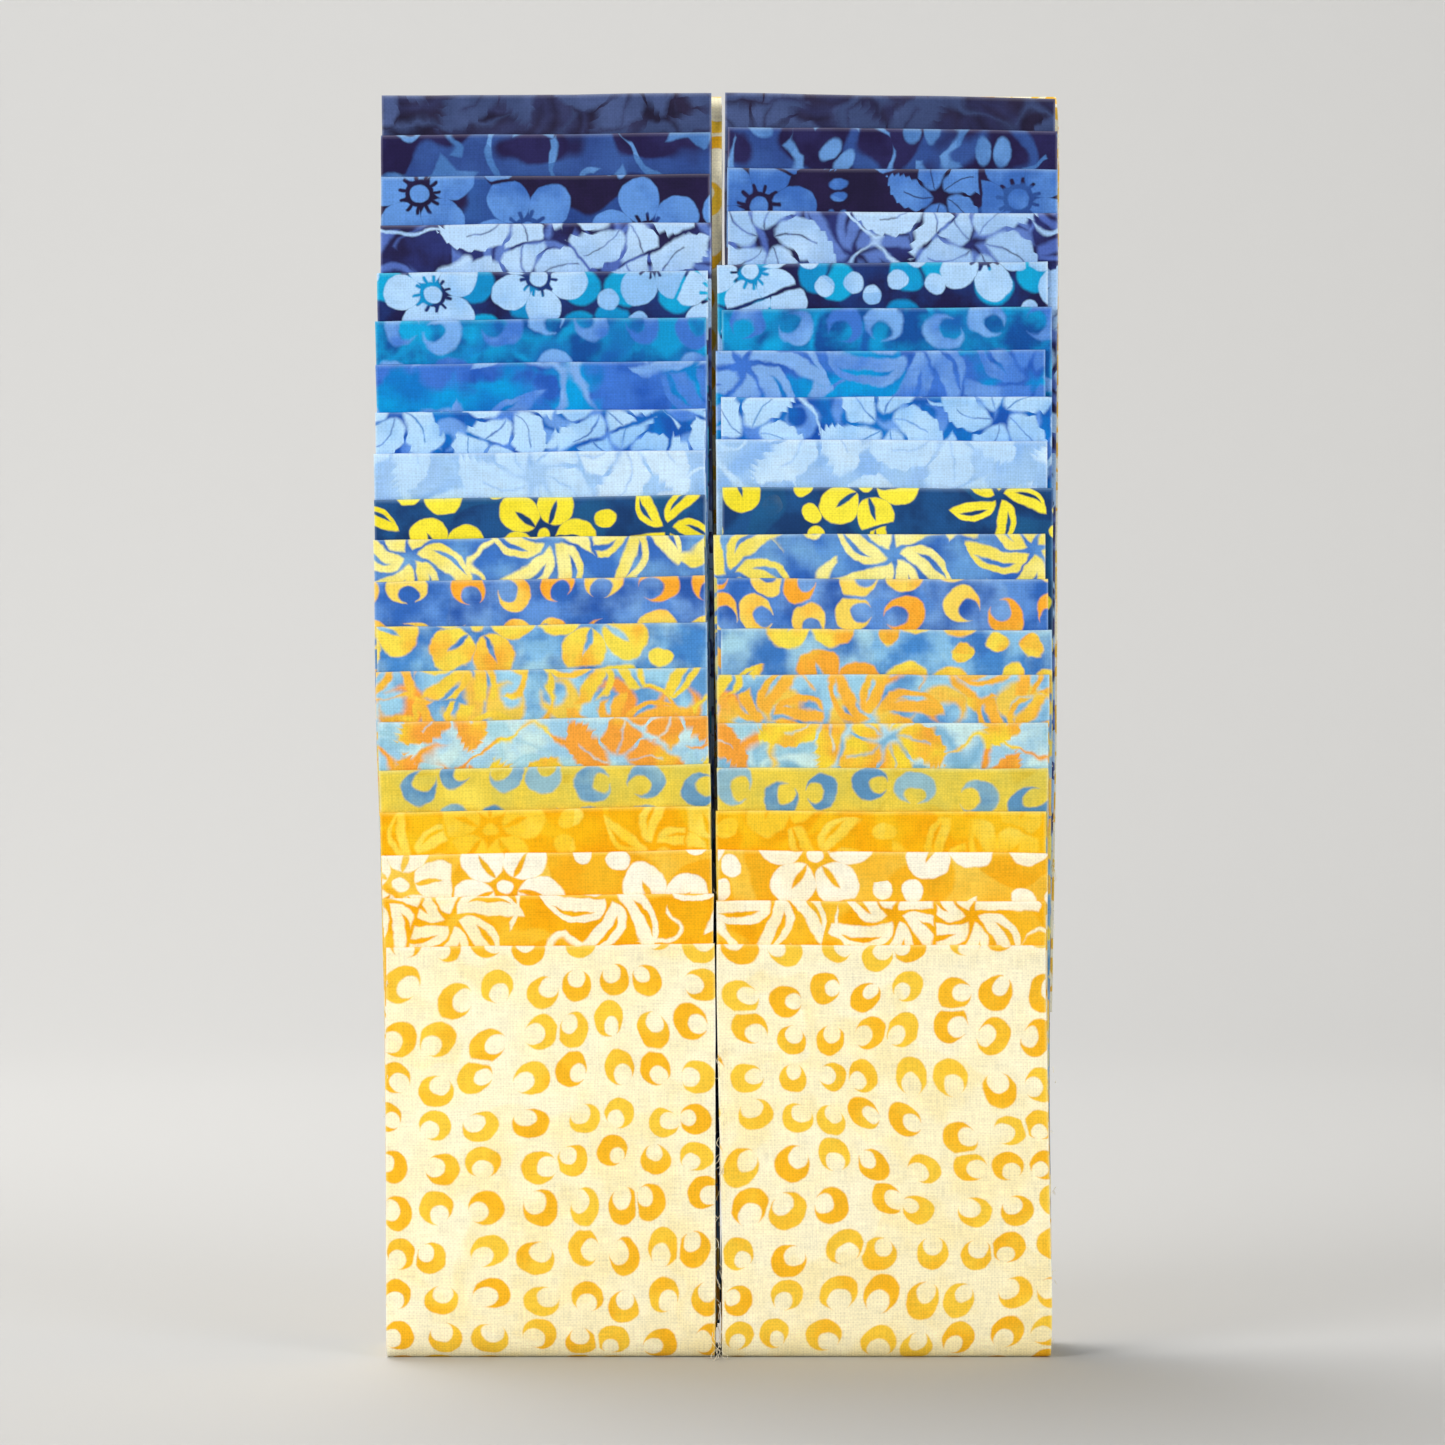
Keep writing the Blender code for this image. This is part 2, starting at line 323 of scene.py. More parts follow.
def closed_quads(count, width):
    """The faces of two grids of points and of the border that joins them."""
    number = np.arange(count * width).reshape(count, width)
    corners = number[:-1, :-1], number[1:, :-1], number[1:, 1:], number[:-1, 1:]
    over = np.stack(corners, axis=-1).reshape(-1, 4)
    under = over[:, ::-1] + count * width
    rim = np.concatenate([number[0, :], number[1:, -1], number[-1, -2::-1], number[-2:0:-1, 0]])
    after = np.roll(rim, -1)
    border = np.stack([rim, after, after + count * width, rim + count * width], axis=-1)
    return np.concatenate([over, under, border])


def mesh_of_quads(name, points, quads):
    mesh = bpy.data.meshes.new(name)
    mesh.vertices.add(len(points))
    mesh.vertices.foreach_set("co", points.ravel())
    mesh.loops.add(quads.size)
    mesh.loops.foreach_set("vertex_index", quads.ravel().astype(np.int32))
    mesh.polygons.add(len(quads))
    mesh.polygons.foreach_set("loop_start", np.arange(0, quads.size, 4, dtype=np.int32))
    mesh.update(calc_edges=True)
    mesh.validate()
    return mesh


def thick_sheet(name, run, print_at):
    """A doubled strip as a closed mesh. Its UV map holds metres on the printed cloth, from print_at."""
    outer, inner = skin(run, HALF_STRIP), skin(run, LAYER_GAP / 2)
    count, width = outer.shape[:2]
    quads = closed_quads(count, width)
    points = np.concatenate([outer.reshape(-1, 3), inner.reshape(-1, 3)]) * MM
    mesh = mesh_of_quads(name, points, quads)

    across = print_at[0] + SHARES * STRIP_WIDTH
    along = print_at[1] + cloth_places(run)
    places = np.stack(np.broadcast_arrays(across, along[:, None]), axis=-1).reshape(-1, 2) * MM
    places = np.concatenate([places, places])
    layer = mesh.uv_layers.new(name="cloth")
    layer.data.foreach_set("uv", places[quads.ravel()].astype(np.float32).ravel())

    # Rubbing at the cut edges, and the painted highlight on the front of the fold.
    worn_and_highlit = wear_and_highlight(run, count).ravel()
    attribute = mesh.attributes.new("worn_and_highlit", "FLOAT", "POINT")
    attribute.data.foreach_set("value", np.concatenate([worn_and_highlit, worn_and_highlit]))
    mesh.shade_smooth()
    mesh.set_sharp_from_angle(angle=math.radians(60))
    return mesh


# Shader fields


class Field:
    """A number at each point of the cloth. Sums and products of fields add math nodes to the tree."""

    def __init__(self, tree, socket):
        self.tree = tree
        self.socket = socket

    def math(self, operation, *others):
        node = self.tree.nodes.new("ShaderNodeMath")
        node.operation = operation
        for socket, value in zip(node.inputs, (self, *others)):
            feed(self.tree, socket, value)
        return Field(self.tree, node.outputs[0])

    def __add__(self, other):
        return self.math("ADD", other)

    def __sub__(self, other):
        return self.math("SUBTRACT", other)

    def __rsub__(self, other):
        return (self * -1.0) + other

    def __mul__(self, other):
        return self.math("MULTIPLY", other)

    def __truediv__(self, other):
        return self.math("DIVIDE", other)

    def __abs__(self):
        return self.math("ABSOLUTE")

    def sin(self):
        return self.math("SINE")

    def cos(self):
        return self.math("COSINE")

    def least(self, other):
        return self.math("MINIMUM", other)

    def most(self, other):
        return self.math("MAXIMUM", other)

    def above(self, other):
        """1 where this is more than the other, and 0 elsewhere."""
        return self.math("GREATER_THAN", other)

    def rising(self, low, high):
        """0 below low and 1 above high, with a soft step between."""
        node = self.tree.nodes.new("ShaderNodeMapRange")
        node.interpolation_type = "SMOOTHSTEP"
        for socket, value in zip(node.inputs, (self, low, high)):
            feed(self.tree, socket, value)
        return Field(self.tree, node.outputs[0])


def feed(tree, socket, value):
    """Gives a socket a field, another socket or a plain value."""
    if isinstance(value, Field):
        tree.links.new(value.socket, socket)
    elif isinstance(value, bpy.types.NodeSocket):
        tree.links.new(value, socket)
    else:
        socket.default_value = value


def length(x, y):
    return (x * x + y * y).math("SQRT")


def together(x, y):
    node = x.tree.nodes.new("ShaderNodeCombineXYZ")
    feed(x.tree, node.inputs["X"], x)
    feed(x.tree, node.inputs["Y"], y)
    return node.outputs[0]


def apart(tree, vector):
    node = tree.nodes.new("ShaderNodeSeparateXYZ")
    tree.links.new(vector, node.inputs[0])
    return [Field(tree, output) for output in node.outputs]


def noise(x, y, size, detail=2.0):
    """Three soft random fields around 0.5, with patches of about this size."""
    node = x.tree.nodes.new("ShaderNodeTexNoise")
    node.noise_dimensions = "2D"
    x.tree.links.new(together(x, y), node.inputs["Vector"])
    node.inputs["Scale"].default_value = 1 / size
    node.inputs["Detail"].default_value = detail
    return apart(x.tree, node.outputs["Color"])


def bent(x, y, amount, size):
    """The coordinates of a layout that bends slowly, by up to about amount over this size."""
    dx, dy, _ = noise(x, y, size, 0.0)
    return x + (dx - 0.5) * (2 * amount), y + (dy - 0.5) * (2 * amount)


def turned(x, y, angle):
    cosine, sine = angle.cos(), angle.sin()
    return x * cosine + y * sine, y * cosine - x * sine


def sector(x, y, count, twist=0.0):
    """Folds the plane into one of count equal petals that point along +X, with the distance from
    the centre. Twist curls them, in turns per mm."""
    radius = length(x, y)
    angle = y.math("ARCTAN2", x) / (2 * math.pi) * count
    if twist:
        angle = angle + radius * (twist * count)
    part = (angle.math("FRACT") - 0.5) * (2 * math.pi / count)
    return radius * part.cos(), radius * part.sin(), radius


# Scattered centres

# How far the centres of a layout lie from each other, and how far they stray, from 0 to 1.
Layout = namedtuple("Layout", "pitch scatter")

# Where a point lies from the nearest centre of a layout, where that centre is, and its own random
# numbers.
Cell = namedtuple("Cell", "x y distance centre_x centre_y chance turn tone")


def voronoi(x, y, layout, feature):
    node = x.tree.nodes.new("ShaderNodeTexVoronoi")
    node.voronoi_dimensions = "2D"
    node.feature = feature
    x.tree.links.new(together(x, y), node.inputs["Vector"])
    node.inputs["Scale"].default_value = 1 / layout.pitch
    node.inputs["Randomness"].default_value = layout.scatter
    return node


def cells(x, y, layout):
    """The cell of a layout that each point lies in."""
    node = voronoi(x, y, layout, "F1")
    centre_x, centre_y, _ = apart(x.tree, node.outputs["Position"])
    chance, angle, tone = apart(x.tree, node.outputs["Color"])
    distance = Field(x.tree, node.outputs["Distance"]) * layout.pitch
    around = angle * (2 * math.pi)
    return Cell(x - centre_x, y - centre_y, distance, centre_x, centre_y, chance, around, tone)


def from_neighbour(x, y, layout, cell):
    """How far a point lies inside its own cell, from the border with the next one."""
    second = Field(x.tree, voronoi(x, y, layout, "F2").outputs["Distance"]) * layout.pitch
    return (second - cell.distance) * 0.5


def place(x, y, layout, motif):
    """A motif in each cell of a layout, turned at random and cut off short of its neighbours."""
    cell = cells(x, y, layout)
    inside = motif(*turned(cell.x, cell.y, cell.turn), cell.chance)
    return inside.least(from_neighbour(x, y, layout, cell) - 0.3), cell.tone


def sprinkle(x, y, pitch, motif, layout, distance):
    """Small motifs whose centres lie at least this far from the layout's centres."""
    cell = cells(x, y, Layout(pitch, 0.7))
    near = cells(cell.centre_x, cell.centre_y, layout)
    return motif(*turned(cell.x, cell.y, cell.turn)).least((near.distance - distance) * 10.0)


def clear(inside, x, y, layout, distance):
    """A motif only where a point is farther than this from the layout's centres."""
    return inside.least(cells(x, y, layout).distance - distance)


# Motifs. Each gives how deep a point lies inside its shape, in millimetres, and less than 0 outside.

PETALS = 5


def either(chance, share, first, second):
    """The first motif in this share of the cells and the second in the others."""
    return first + (second - first) * chance.above(share)


def dot(x, y, radius):
    return radius - length(x, y)


def drops(x, y, size):
    """A pair of rounded petals side by side."""
    return 0.36 * size - length((x - 0.06 * size) / 1.7, abs(y) - 0.42 * size)


def crescent(x, y, radius, chance):
    """A thick C with tapering ends, wider open where chance is high."""
    hole = length(x - 0.45 * radius, y) - (chance * 0.14 + 0.5) * radius
    mouth = (abs(y) - (chance * 0.2 + 0.2) * radius).most(0.5 * radius - x)
    return (radius - length(x * 1.04, y)).least(hole).least(mouth)


def star(x, y, size):
    px, py, _ = sector(x, y, PETALS)
    return (size * 0.42 - px * 0.5 - abs(py) * 0.85) * 0.9


def pointed(px, py, start, end, half_width):
    """A leaf from start to end along +X."""
    half_length = (end - start) / 2
    arc = (half_length**2 + half_width**2) / (2 * half_width)
    return arc - length(px - (start + end) / 2, abs(py) + (arc - half_width))


def toothed(px, py, start, end, half_width, tooth):
    """A leaf with slanting teeth and a midrib."""
    teeth = ((px - abs(py) * 0.9) / tooth).math("FRACT") * (0.34 * tooth)
    rib = (abs(py) - 0.05 * tooth).most(px - (start + 0.62 * (end - start)))
    return (pointed(px, py, start, end, half_width) - teeth).least(rib)


def spray(x, y, size, count):
    """Pointed leaves in a ring, each with a slim leaf cut out of it."""
    px, py, _ = sector(x, y, count, 0.012)
    leaf = pointed(px, py, 0.1 * size, size, 0.2 * size)
    return leaf.least(pointed(px, py - 0.03 * size, 0.34 * size, 0.82 * size, 0.045 * size) * -1.0)


def toothed_spray(x, y, size):
    """Toothed leaves in a ring."""
    px, py, _ = sector(x, y, PETALS, 0.01)
    return toothed(px, py, 0.08 * size, size, 0.3 * size, 0.16 * size)


def petals(px, py, size):
    """One petal of a ring, in the coordinates of its own sector."""
    width = 0.96 * math.sin(math.pi / PETALS) * size * 0.64
    return (1.0 - length((px - size * 0.62) / (size * 0.39), py / width)) * width


def rayed_flower(x, y, size):
    """Petals with short dark rays in them, round a ringed core."""
    px, py, radius = sector(x, y, PETALS)
    rx, ry, _ = sector(x, y, 2 * PETALS + 1)
    ray = length((rx - size * 0.36).most(0.0), ry) - 0.034 * size
    ray = ray.most(radius - size * 0.54)
    ring = petals(px, py, size).least(ray).least(radius - size * 0.26)
    return ring.most(size * 0.17 - radius)


def slit_flower(x, y, size):
    """Petals that are each slit from the core outwards."""
    px, py, radius = sector(x, y, PETALS)
    slit = pointed(px, py, 0.2 * size, 0.7 * size, 0.055 * size)
    ring = petals(px, py, size).least(slit * -1.0).least(radius - size * 0.2)
    return ring.most(size * 0.13 - radius)


def vines(x, y, pitch, width):
    """Bands of changing width that wander and curl."""
    course, swell, _ = noise(x, y, pitch, 0.6)
    return (swell * 1.6 - 0.3) * width - abs(course - 0.5) * (pitch * 1.5)


# Designs. Each gives the depth inside its figures and their tone, for figures of a size.


def flowers(x, y, size):
    def figure(a, b, chance):
        return either(chance, 0.6, rayed_flower(a, b, size), toothed_spray(a, b, size))

    layout = Layout(size * 2.15, 0.6)
    main, tone = place(x, y, layout, figure)
    buds = sprinkle(x, y, size * 0.62, lambda a, b: drops(a, b, size * 0.25), layout, size * 1.16)
    return main.most(buds), tone


def slit_flowers(x, y, size):
    def figure(a, b, chance):
        return either(chance, 0.7, slit_flower(a, b, size), spray(a, b, size, 5))

    layout = Layout(size * 2.1, 0.6)
    main, tone = place(x, y, layout, figure)
    buds = sprinkle(x, y, size * 0.62, lambda a, b: dot(a, b * 1.25, size * 0.21), layout, size * 1.14)
    return main.most(buds), tone


def small_flowers(x, y, size):
    layout = Layout(size * 2.1, 0.55)
    main, tone = place(x, y, layout, lambda a, b, chance: rayed_flower(a, b, size))
    buds = sprinkle(x, y, size * 0.6, lambda a, b: dot(a, b, size * 0.2), layout, size * 1.15)
    return main.most(buds), tone


def leaves(x, y, size):
    layout = Layout(size * 1.7, 0.6)
    main, tone = place(x, y, layout, lambda a, b, chance: toothed_spray(a, b, size))
    stems = clear(vines(x, y, size * 0.9, 0.9), x, y, layout, size * 0.75)
    return main.most(stems), tone


def fronds(x, y, size):
    layout = Layout(size * 1.75, 0.6)
    main, tone = place(x, y, layout, lambda a, b, chance: spray(a, b, size, 6))
    stems = clear(vines(x, y, size * 0.8, 1.0), x, y, layout, size * 0.8)
    return main.most(stems), tone


def stars(x, y, size):
    def figure(a, b, chance):
        return either(chance, 0.55, star(a, b, size), drops(a, b, size * 0.55))

    layout = Layout(size * 1.9, 0.6)
    main, tone = place(x, y, layout, figure)
    stems = clear(vines(x, y, size * 1.3, 1.1), x, y, layout, size * 0.8)
    return main.most(stems), tone


def dots(x, y, size):
    return place(x, y, Layout(size * 2.5, 0.7), lambda a, b, chance: dot(a, b, size))


def crescents(x, y, size):
    x, y = bent(x, y, size * 0.9, size * 10)
    return place(x, y, Layout(size * 2.6, 0.36), lambda a, b, chance: crescent(a, b, size, chance))


def curls(x, y, size):
    return vines(x, y, size, size * 0.17), noise(x, y, size * 1.3)[0]


def patches(x, y, size):
    first, second, _ = noise(x, y, size, 3.0)
    return (first - 0.5) * size, second


# Prints, one for each pair of strips from the rear to the front: two ground colours and two layers of
# figures, the upper one last. Soft is how far the dye bleeds, and stray how uneven its lines are.
Layer = namedtuple("Layer", "design size tones")
Print = namedtuple("Print", "ground lower upper soft stray")
PRINTS = (
    # Charcoal with slate leaves.
    Print(
        ("1c1831", "28233f"),
        Layer(fronds, 19.0, ("2a2c52", "33385f")),
        Layer(leaves, 15.0, ("38466f", "475785")),
        soft=0.9,
        stray=1.2,
    ),
    # Midnight with blue stars.
    Print(
        ("1e1740", "262352"),
        Layer(curls, 15.0, ("2b4585", "355597")),
        Layer(stars, 8.0, ("426fae", "6292cf")),
        soft=0.28,
        stray=0.6,
    ),
    # Navy with blue flowers.
    Print(
        ("1c1636", "221a40"),
        Layer(curls, 24.0, ("233c80", "2e5498")),
        Layer(flowers, 11.0, ("3866b4", "5c8ed4")),
        soft=0.2,
        stray=0.5,
    ),
    # Navy with pale-blue leaves.
    Print(
        ("1f1c44", "28306c"),
        Layer(fronds, 14.0, ("4a63b0", "5a78c0")),
        Layer(leaves, 15.0, ("98bde8", "b0d0f2")),
        soft=0.28,
        stray=0.7,
    ),
    # Dark turquoise with flowers and dots.
    Print(
        ("1b1a46", "1b3370"),
        Layer(dots, 3.6, ("0a86c2", "0aa0d2")),
        Layer(small_flowers, 9.5, ("88b8ea", "aacff4")),
        soft=0.2,
        stray=0.5,
    ),
    # Blurred turquoise.
    Print(
        ("0e4c98", "0a92cc"),
        Layer(curls, 14.0, ("0aa0d8", "155cac")),
        Layer(crescents, 3.6, ("3a70c8", "74a8e6")),
        soft=0.4,
        stray=0.8,
    ),
    # Blue-violet leaves.
    Print(
        ("2256b4", "3a70cc"),
        Layer(patches, 14.0, ("0098da", "0a70c0")),
        Layer(fronds, 17.0, ("467cd2", "7aa8e4")),
        soft=0.4,
        stray=1.1,
    ),
    # Bright blue with pale leaves.
    Print(
        ("1650ac", "0a72c6"),
        Layer(crescents, 3.2, ("447ad4", "6a9ce2")),
        Layer(leaves, 13.0, ("8fc0f0", "b0d6f8")),
        soft=0.28,
        stray=0.7,
    ),
    # Pale blue, tone on tone.
    Print(
        ("86b2e8", "9cc4ee"),
        Layer(curls, 16.0, ("a2c8f0", "94bcec")),
        Layer(leaves, 16.0, ("b4d6f6", "c8e2f8")),
        soft=0.45,
        stray=1.0,
    ),
    # Deep teal with yellow flowers.
    Print(
        ("15396a", "1d5088"),
        Layer(curls, 24.0, ("174577", "1d5788")),
        Layer(slit_flowers, 10.0, ("eedc30", "f5e640")),
        soft=0.2,
        stray=0.5,
    ),
    # Denim with pale-yellow leaves.
    Print(
        ("3a70c0", "6298d4"),
        Layer(patches, 20.0, ("3064b8", "74a8d8")),
        Layer(fronds, 13.5, ("eedc60", "f6ee9a")),
        soft=0.28,
        stray=0.8,
    ),
    # Harbour blue with orange-yellow crescents.
    Print(
        ("3064b6", "5c8ed4"),
        Layer(patches, 16.0, ("2a58aa", "74a2dc")),
        Layer(crescents, 3.6, ("f4a62e", "f4d45c")),
        soft=0.25,
        stray=0.5,
    ),
    # Blurred blue with yellow flowers.
    Print(
        ("4484c8", "86bce2"),
        Layer(patches, 15.0, ("3a74bc", "a2cfe2")),
        Layer(slit_flowers, 11.5, ("f0a634", "f2dc4e")),
        soft=0.3,
        stray=0.9,
    ),
    # Blue with yellow and orange leaves.
    Print(
        ("5f98cc", "9acce4"),
        Layer(crescents, 4.2, ("f09c3a", "ecc850")),
        Layer(fronds, 13.0, ("eed244", "f2b23c")),
        soft=0.35,
        stray=1.1,
    ),
    # Pale blotches.
    Print(
        ("9ac8e2", "c8e6e6"),
        Layer(fronds, 17.0, ("7fb4d4", "a4d0dc")),
        Layer(leaves, 13.0, ("f4d83c", "f0a03a")),
        soft=0.4,
        stray=1.2,
    ),
    # Ochre with blue crescents.
    Print(
        ("ecd048", "dcc850"),
        Layer(curls, 12.0, ("f2da54", "d8bc3c")),
        Layer(crescents, 3.6, ("5c90ba", "94bcc8")),
        soft=0.3,
        stray=0.7,
    ),
    # Gold, tone on tone.
    Print(
        ("f8b80c", "f5ac04"),
        Layer(curls, 14.0, ("f9c41c", "f8bc10")),
        Layer(slit_flowers, 11.0, ("fcde58", "facc30")),
        soft=0.35,
        stray=0.8,
    ),
    # Gold with white flowers.
    Print(
        ("f6b924", "f4ae18"),
        Layer(curls, 20.0, ("f9cc4c", "f7be34")),
        Layer(slit_flowers, 11.5, ("fff4d4", "fff9e4")),
        soft=0.22,
        stray=0.6,
    ),
    # Gold with cream leaves.
    Print(
        ("f8b414", "f5aa08"),
        Layer(curls, 18.0, ("f9c334", "f8b81e")),
        Layer(fronds, 14.0, ("fff0c0", "fff6d8")),
        soft=0.22,
        stray=0.7,
    ),
    # Cream with gold crescents.
    Print(
        ("fdf2ca", "fcedba"),
        Layer(patches, 40.0, ("fdf4d2", "fdf1c6")),
        Layer(crescents, 3.25, ("f7b722", "f9cb3e")),
        soft=0.2,
        stray=0.42,
    ),
)


# Colours


def linear(code):
    """A colour from its sRGB hex code."""
    values = [int(code[i : i + 2], 16) / 255 for i in (0, 2, 4)]
    return tuple(v / 12.92 if v <= 0.04045 else ((v + 0.055) / 1.055) ** 2.4 for v in values) + (1.0,)


def blend(tree, factor, first, second):
    node = tree.nodes.new("ShaderNodeMix")
    node.data_type = "RGBA"
    feed(tree, node.inputs[0], factor)
    feed(tree, node.inputs[6], first)
    feed(tree, node.inputs[7], second)
    return node.outputs[2]


def toned(tree, colour, level):
    """A colour made lighter or darker by a field around 1."""
    node = tree.nodes.new("ShaderNodeVectorMath")
    node.operation = "SCALE"
    feed(tree, node.inputs[0], colour)
    feed(tree, node.inputs["Scale"], level)
    return node.outputs[0]


# Cloth material

# The distance between yarns, and how high they stand in the bump map.
WEAVE = 0.42
WEAVE_STRENGTH = 0.35
WEAVE_HEIGHT = 0.08

# How much the cloth is lightened in its own colour, and its share of an off-white, at the rubbed
# cut edges and at the painted highlight on the front of the folds.
FADING_AND_HIGHLIGHT = 0.38
WORN_AND_HIGHLIGHT_SHARE = 0.1
WORN_AND_HIGHLIGHT_COLOUR = linear("f1efe6")
CLOTH_ROUGHNESS = 0.88
CLOTH_SPECULAR = 0.16

# How unevenly the wax ran, the size of its unevenness, and the lower figures' and clouds' own places.
STRAY_SIZE = 5.0
STRAY_REACH = 2.4
LOWER_SHIFT = (31.0, 17.0)
CLOUD_SIZE = 9.0
CLOUD_SHIFT = 40.0
MOTTLE_SHARE = 0.06
BLACK = (0.0, 0.0, 0.0, 1.0)


def cloth_coordinates(tree):
    """Millimetres across and along the printed cloth, as two fields."""
    node = tree.nodes.new("ShaderNodeUVMap")
    node.uv_map = "cloth"
    x, y, _ = apart(tree, node.outputs[0])
    return x * 1000.0, y * 1000.0


def yarns(x, y):
    """The height and the tone of a plain weave: yarns over and under each other, uneven in thickness."""
    warp_slub, warp_tone, _ = noise(x * 2.2, y * 0.16, 0.55, 0.0)
    weft_slub, weft_tone, _ = noise(x * 0.16, y * 2.2, 0.55, 0.0)
    crossing = (x * (math.pi / WEAVE)).sin() * (y * (math.pi / WEAVE)).sin()
    height = crossing * 0.5 + (warp_slub + weft_slub) * 0.8
    tone = (warp_tone + weft_tone - 1.0) * 0.2 + crossing * 0.05
    return height, tone


def coat(tree, x, y, layer, below, mottle, fine, soft):
    """A layer of figures over a colour, with edges that bleed by soft."""
    inside, tone = layer.design(x, y, layer.size)
    shade = (mottle * 1.3 + tone * 0.7 - 0.5).rising(0.2, 0.8)
    figure = blend(tree, shade, linear(layer.tones[0]), linear(layer.tones[1]))
    mask = (inside + (fine - 0.5) * soft).rising(-soft, soft)
    return blend(tree, mask, below, figure)


def print_colour(tree, x, y, design):
    """The ground and both layers of figures, with a mottled dye."""
    drift_x, drift_y, mottle = noise(x, y, STRAY_SIZE, 3.0)
    drawn_x = x + (drift_x - 0.5) * (STRAY_REACH * design.stray)
    drawn_y = y + (drift_y - 0.5) * (STRAY_REACH * design.stray)
    cloudy, ragged, fine = noise(x + CLOUD_SHIFT, y, CLOUD_SIZE, 4.0)
    ground = blend(tree, cloudy.rising(0.36, 0.64), linear(design.ground[0]), linear(design.ground[1]))
    lower_x, lower_y = drawn_x + LOWER_SHIFT[0], drawn_y + LOWER_SHIFT[1]
    colour = coat(tree, lower_x, lower_y, design.lower, ground, cloudy, fine, design.soft * 2)
    colour = coat(tree, drawn_x, drawn_y, design.upper, colour, ragged, fine, design.soft)
    return blend(tree, mottle.rising(0.3, 0.75) * MOTTLE_SHARE, colour, BLACK)


def faded_and_highlit(tree, colour):
    """A colour made lighter at the rubbed cut edges and by a painted highlight on the folds."""
    attribute = tree.nodes.new("ShaderNodeAttribute")
    attribute.attribute_name = "worn_and_highlit"
    worn_and_highlit = Field(tree, attribute.outputs["Fac"])
    node = tree.nodes.new("ShaderNodeGamma")
    feed(tree, node.inputs["Color"], colour)
    feed(tree, node.inputs["Gamma"], 1.0 - worn_and_highlit * FADING_AND_HIGHLIGHT)
    return blend(tree, worn_and_highlit * WORN_AND_HIGHLIGHT_SHARE, node.outputs[0], WORN_AND_HIGHLIGHT_COLOUR)


def new_material(name, roughness, specular):
    """A material, its node tree and its shader."""
    material = bpy.data.materials.new(name)
    material.use_nodes = True
    shader = material.node_tree.nodes["Principled BSDF"]
    shader.inputs["Roughness"].default_value = roughness
    shader.inputs["Specular IOR Level"].default_value = specular
    return material, material.node_tree, shader


def cloth_material(name, design):
    material, tree, shader = new_material(name, CLOTH_ROUGHNESS, CLOTH_SPECULAR)
    x, y = cloth_coordinates(tree)
    colour = print_colour(tree, x, y, design)
    height, tone = yarns(x, y)
    # Lightened at the rubbed cut edges and by the painted highlight on the folds.
    feed(tree, shader.inputs["Base Color"], faded_and_highlit(tree, toned(tree, colour, tone + 1.0)))
    bump = tree.nodes.new("ShaderNodeBump")
    bump.inputs["Strength"].default_value = WEAVE_STRENGTH
    bump.inputs["Distance"].default_value = WEAVE_HEIGHT * MM
    feed(tree, bump.inputs["Height"], height)
    feed(tree, shader.inputs["Normal"], bump.outputs[0])
    return material


# Strips

# Where on the printed cloth the strips are cut from, at random.
PRINT_START = 1000.0
PRINT_RANGE = 900.0


def add_object(name, data):
    thing = bpy.data.objects.new(name, data)
    bpy.context.scene.collection.objects.link(thing)
    return thing


def make_strip(index, column, material):
    """The sheet of cloth that takes the place of one strip of the frame."""
    pair = PAIRS[index]
    if column is LEFT:
        top, rise, drift = pair.left_top, pair.left_rise, pair.left_drift
    else:
        top, rise, drift = pair.right_top, pair.right_rise, pair.right_drift
    seed = 100 * (index + 1) + (50 if column is RIGHT else 0)
    print_at = np.random.default_rng(seed + 11).uniform(0, PRINT_RANGE, 2) + PRINT_START
    name = f"cloth_{column.name}_{index + 1:02d}"
    mesh = thick_sheet(name, run_of(index, column, top, rise, drift, seed), print_at)
    mesh.materials.append(material)
    piece = add_object(name, mesh)
    node = f"strip_{column.name}_{index + 1:02d}"
    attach(piece, "root")
    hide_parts(node)


# Loose threads

# The threads of the cut edges: where they lie, how many, how long, and how far they stray.
Fray = namedtuple("Fray", "x low high y count length stray")
FRAYS = (
    Fray(0.35, 1.5, 60.0, -14.6, 34, 4.0, 0.9),
    Fray(0.45, 0.4, 2.5, -15.0, 9, 5.0, 1.6),
    Fray(0.0, 85.0, 240.0, -13.0, 26, 2.6, 0.6),
    Fray(-63.9, 1.0, 235.0, -14.0, 40, 1.5, 0.45),
    Fray(65.0, 1.0, 235.0, -12.0, 46, 1.6, 0.5),
)
THREAD_RADIUS = 0.08
THREAD_STEPS = 7
THREAD_SIDES = 3
THREAD_COLOUR = linear("f4ead0")


def thread_course(fray):
    """The points of one loose thread."""
    start = np.array([fray.x, fray.y, THREAD_RNG.uniform(fray.low, fray.high)])
    start += THREAD_RNG.normal(0, (0.25, 0.8, 0))
    heading = [THREAD_RNG.normal(0, 0.5), THREAD_RNG.normal(-0.1, 0.25), THREAD_RNG.choice([-1, 1])]
    heading = np.array(heading)
    step = fray.length * THREAD_RNG.uniform(0.4, 1.0) / THREAD_STEPS
    points = [start]
    for _ in range(THREAD_STEPS):
        bend = THREAD_RNG.normal(0, (0.38 * fray.stray, 0.2, 0.3))
        heading = heading / np.linalg.norm(heading) + bend
        points.append(points[-1] + heading / np.linalg.norm(heading) * step)
    points = np.array(points)
    points[:, 0] = np.clip(points[:, 0], fray.x - fray.stray, fray.x + fray.stray)
    points[:, 2] = points[:, 2].clip(THREAD_RADIUS)
    return points


def tube_faces(first):
    """The faces of one thread whose points start at this number."""
    faces = []
    for step in range(THREAD_STEPS):
        for side in range(THREAD_SIDES):
            a = first + step * THREAD_SIDES + side
            b = first + step * THREAD_SIDES + (side + 1) % THREAD_SIDES
            faces.append((a, b, b + THREAD_SIDES, a + THREAD_SIDES))
    return faces


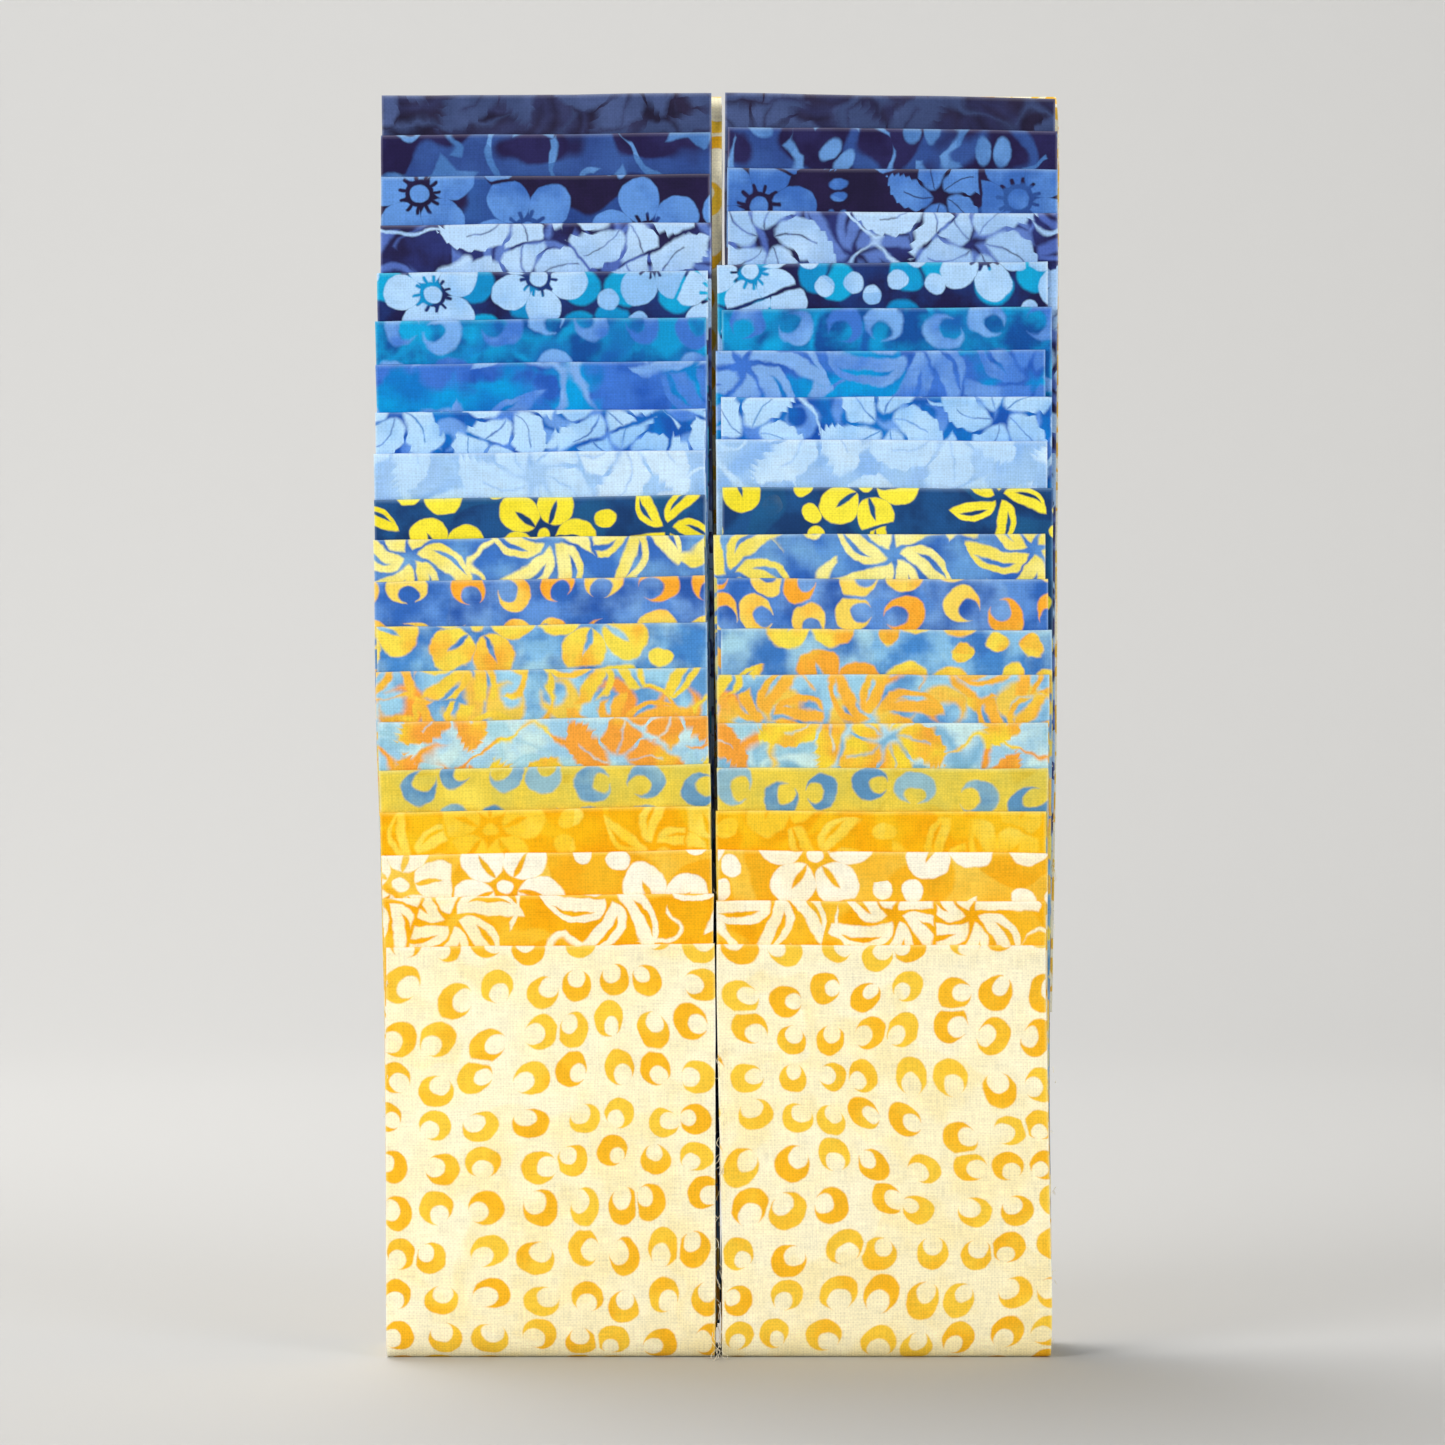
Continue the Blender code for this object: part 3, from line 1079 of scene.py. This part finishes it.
def smooth_mesh(name, points, faces, material):
    mesh = bpy.data.meshes.new(name)
    mesh.from_pydata(points, [], faces)
    mesh.validate()
    mesh.shade_smooth()
    mesh.materials.append(material)
    return mesh


def make_threads():
    """One piece of all the loose threads."""
    angle = 2 * math.pi * np.arange(THREAD_SIDES) / THREAD_SIDES
    ring = np.stack([np.cos(angle), np.sin(angle), 0 * angle], axis=1) * THREAD_RADIUS
    points, faces = [], []
    for fray in FRAYS:
        for _ in range(fray.count):
            faces.extend(tube_faces(len(points)))
            for centre in thread_course(fray):
                points.extend((centre + ring) * MM)
    material, _, shader = new_material("thread", 0.9, 0.5)
    shader.inputs["Base Color"].default_value = THREAD_COLOUR
    threads = add_object("loose_threads", smooth_mesh("loose_threads", points, faces, material))
    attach(threads, "root")


# Stage

STAGE_COLOUR = linear("c8c7c5")
FLOOR_RADIUS = 900.0
WALL_RADIUS = 2600.0
WALL_HEIGHT = 2400.0
SWEEP = 2.6
STAGE_SIDES = 96
STAGE_STEPS = 32


def stage_profile():
    """The radius and height of the stage's rings, from its centre."""
    profile = [(0.0, 0.0)]
    for share in np.linspace(0, 1, STAGE_STEPS + 1):
        radius = FLOOR_RADIUS + share * (WALL_RADIUS - FLOOR_RADIUS)
        profile.append((radius, WALL_HEIGHT * share**SWEEP))
    return profile


def make_stage():
    """A round floor that curves up into a wall, so that no horizon shows from any side."""
    profile = stage_profile()
    points, faces = [], []
    for radius, height in profile:
        for side in range(STAGE_SIDES):
            angle = 2 * math.pi * side / STAGE_SIDES
            points.append((radius * math.cos(angle) * MM, radius * math.sin(angle) * MM, height * MM))
    for ring in range(len(profile) - 1):
        for side in range(STAGE_SIDES):
            here, beyond = ring * STAGE_SIDES, (ring + 1) * STAGE_SIDES
            after = (side + 1) % STAGE_SIDES
            faces.append((here + side, beyond + side, beyond + after, here + after))
    material, _, shader = new_material("stage", 0.9, 0.1)
    shader.inputs["Base Color"].default_value = STAGE_COLOUR
    stage = add_object("stage", smooth_mesh("stage", points, faces, material))


# Lights and camera

Lamp = namedtuple("Lamp", "name place aim size power colour")
LAMPS = (
    Lamp("top", (-450, 450, 1150), (0, 0, 120), 950, 9.6, (1.0, 0.985, 0.96)),
    Lamp("left", (-1000, -1000, 500), (0, 0, 120), 800, 13.2, (1.0, 0.995, 0.98)),
    Lamp("right", (950, -1050, 400), (0, 0, 120), 800, 8.4, (0.98, 0.99, 1.0)),
    Lamp("wall", (-300, 900, 1700), (-300, 2000, 400), 1000, 18.0, (1.0, 1.0, 1.0)),
)
WORLD_COLOUR = (0.96, 0.98, 1.0, 1.0)
WORLD_STRENGTH = 0.28

# At the bundle's face the frame is this wide.
FRAME_WIDTH = 278.0
FACE_Y = -17.0
CAMERA_DISTANCE = 1000.0
CAMERA_X = 1.06
CAMERA_Z = 122.8
SENSOR = 36.0


def aim(thing, place_at, look_at):
    thing.location = Vector(place_at) * MM
    direction = Vector(look_at) - Vector(place_at)
    thing.rotation_euler = direction.to_track_quat("-Z", "Y").to_euler()


def make_lights():
    for lamp in LAMPS:
        data = bpy.data.lights.new(lamp.name, "AREA")
        data.shape = "DISK"
        data.size = lamp.size * MM
        data.energy = lamp.power
        data.color = lamp.colour
        aim(add_object(lamp.name, data), lamp.place, lamp.aim)
    world = bpy.data.worlds.new("world")
    world.use_nodes = True
    background = world.node_tree.nodes["Background"]
    background.inputs["Color"].default_value = WORLD_COLOUR
    background.inputs["Strength"].default_value = WORLD_STRENGTH
    bpy.context.scene.world = world


def make_camera():
    data = bpy.data.cameras.new("camera")
    data.sensor_width = SENSOR
    data.lens = SENSOR * CAMERA_DISTANCE / FRAME_WIDTH
    data.clip_start = 0.05
    data.clip_end = 20.0
    camera = add_object("camera", data)
    aim(camera, (CAMERA_X, FACE_Y - CAMERA_DISTANCE, CAMERA_Z), (CAMERA_X, FACE_Y, CAMERA_Z))
    bpy.context.scene.camera = camera


def main():
    make_camera()
    make_stage()
    make_lights()
    for index, design in enumerate(PRINTS):
        material = cloth_material(f"print_{index + 1:02d}", design)
        for column in (LEFT, RIGHT):
            make_strip(index, column, material)
    make_threads()
    bpy.context.scene.view_settings.view_transform = "Standard"


main()
